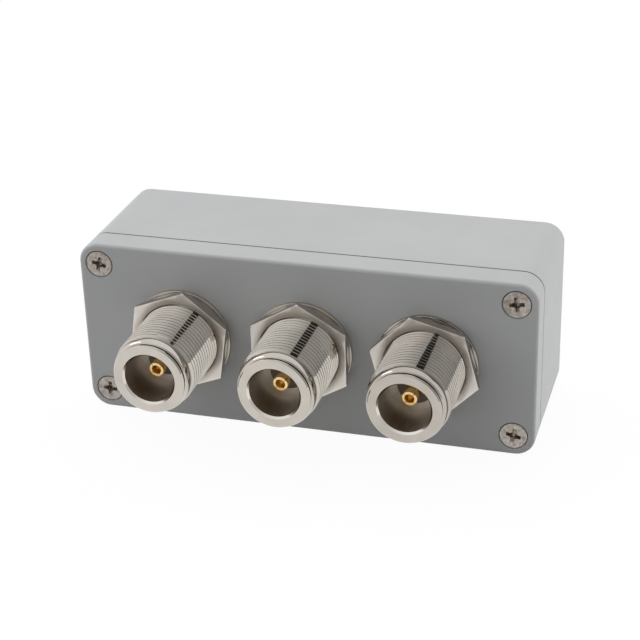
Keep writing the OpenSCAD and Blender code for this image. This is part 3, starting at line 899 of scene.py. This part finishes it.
white_world(level=0.75, gain=(-0.53, 0.38, 0.17))
print("the world is dim towards", [round(c, 2) for c in DIM_SIDE])

# %% [markdown]
# Rows of black dashes run along the threads in the photograph, where the flanks face back at the
# camera. So something dark stands there, most likely the camera itself. One black oval that only
# mirrors see takes its place. Its size and shift were matched to the dashes.

# %% Dark oval beside the camera
LENS_SIZE = (0.036, 0.029)
LENS_SHIFT = (-0.027, -0.006)


def black_lens():
    bm = bmesh.new()
    bmesh.ops.create_circle(bm, cap_ends=True, segments=48, radius=1)
    bmesh.ops.scale(bm, vec=(*LENS_SIZE, 1), verts=bm.verts)
    bmesh.ops.translate(bm, vec=(*LENS_SHIFT, 0), verts=bm.verts)
    bmesh.ops.transform(bm, matrix=camera.matrix_world, verts=bm.verts)
    material, _, shader, _ = new_material("black_lens_glass")
    shader.inputs["Base Color"].default_value = linear("#0A0A0A")
    shader.inputs["Roughness"].default_value = 0.9
    mesh = to_mesh("black_lens", bm)
    mesh.materials.append(material)
    lens = add_object("black_lens", mesh)
    lens.visible_camera = lens.visible_diffuse = False
    lens.visible_shadow = lens.visible_transmission = False


black_lens()
print("dark oval of", [round(2 * half / MM) for half in LENS_SIZE], "mm")

# %% [markdown]
# The ground in the photograph is plain white with a faint soft shadow. Here it is a white sheet
# that ends in front of the picture's edge, and the threads' lower flanks mirror that end. Most of
# it is plain white to the camera and to mirrors, by Light Path, and the small rest is paint that
# takes the shadow. To matt things it is a light grey, so that it doesn't throw too much light up at
# the box.

# %% Floor
FLOOR_FRONT = -0.137
FLOOR_HALF = 2.0


def white_floor(share):
    """A floor of which that share is plain white to look at, and the rest takes the shadow."""
    bm = bmesh.new()
    bmesh.ops.create_grid(bm, x_segments=1, y_segments=1, size=FLOOR_HALF)
    bmesh.ops.translate(bm, vec=(0, FLOOR_FRONT + FLOOR_HALF, 0), verts=bm.verts)
    material, tree, paint, _ = new_material("white_floor")
    path = add_node(tree, "ShaderNodeLightPath")
    seen = path.outputs["Is Camera Ray"]
    for name in ("Is Glossy Ray", "Is Transmission Ray"):
        either = add_node(tree, "ShaderNodeMath", {0: seen, 1: path.outputs[name]},
                          operation="MAXIMUM")
        seen = either.outputs["Value"]
    paper = add_node(tree, "ShaderNodeMix", {0: seen, 6: linear("#B4B4B4"), 7: linear("#F2F2F2")},
                     data_type="RGBA")
    tree.links.new(paper.outputs[2], paint.inputs["Base Color"])
    paint.inputs["Roughness"].default_value = 0.9
    glow = add_node(tree, "ShaderNodeEmission", {"Strength": 1.0})
    white = add_node(tree, "ShaderNodeMath", {0: seen, 1: share}, operation="MULTIPLY")
    mixed = add_node(tree, "ShaderNodeMixShader",
                     {0: white.outputs["Value"], 1: paint.outputs["BSDF"],
                      2: glow.outputs["Emission"]})
    tree.links.new(mixed.outputs["Shader"], tree.nodes["Material Output"].inputs["Surface"])
    mesh = to_mesh("floor", bm)
    mesh.materials.append(material)
    floor = add_object("floor", mesh)


white_floor(share=0.95)
print("the floor ends", round(-FLOOR_FRONT / MM), "mm in front of the origin")

# %% [markdown]
# Three large soft lamps even out what the sky does: one above, a strong one low on the right for
# the box's bright end, and a weak one at the front left. They would show in the nickel as white
# squares, which the photograph doesn't have, so mirrors don't see them. A fourth, small one is
# seen in mirrors, as the white highlight on the bands' upper left.

# %% Lamps
LAMP_DISTANCE, WIDE, SMALL = 0.9, 0.9, 0.36


def soft_lamp(name, direction, size, watts, mirrored=False):
    """A square area lamp that faces the object from a direction, in metres and watts."""
    data = bpy.data.lights.new(name, "AREA")
    data.size = size
    data.energy = watts
    lamp = add_object(name, data)
    aim = Vector(direction).normalized()
    lamp.location = aim * LAMP_DISTANCE
    lamp.rotation_euler = aim.to_track_quat("Z", "Y").to_euler()
    lamp.visible_glossy = mirrored
    print(name, "lamp:", watts, "W")


soft_lamp("above", (-0.25, 0.35, 1.0), WIDE, 1.15)
soft_lamp("right", (1.0, 0.3, 0.15), WIDE, 8.5)
soft_lamp("front left", (-0.9, -0.8, 0.5), WIDE, 1.0)
soft_lamp("highlight", (-0.75, 0.16, 0.62), SMALL, 1.1, mirrored=True)

# %% [markdown]
# ## Last step
# The view layer is brought up to date.

# %% Last step
bpy.context.view_layer.update()
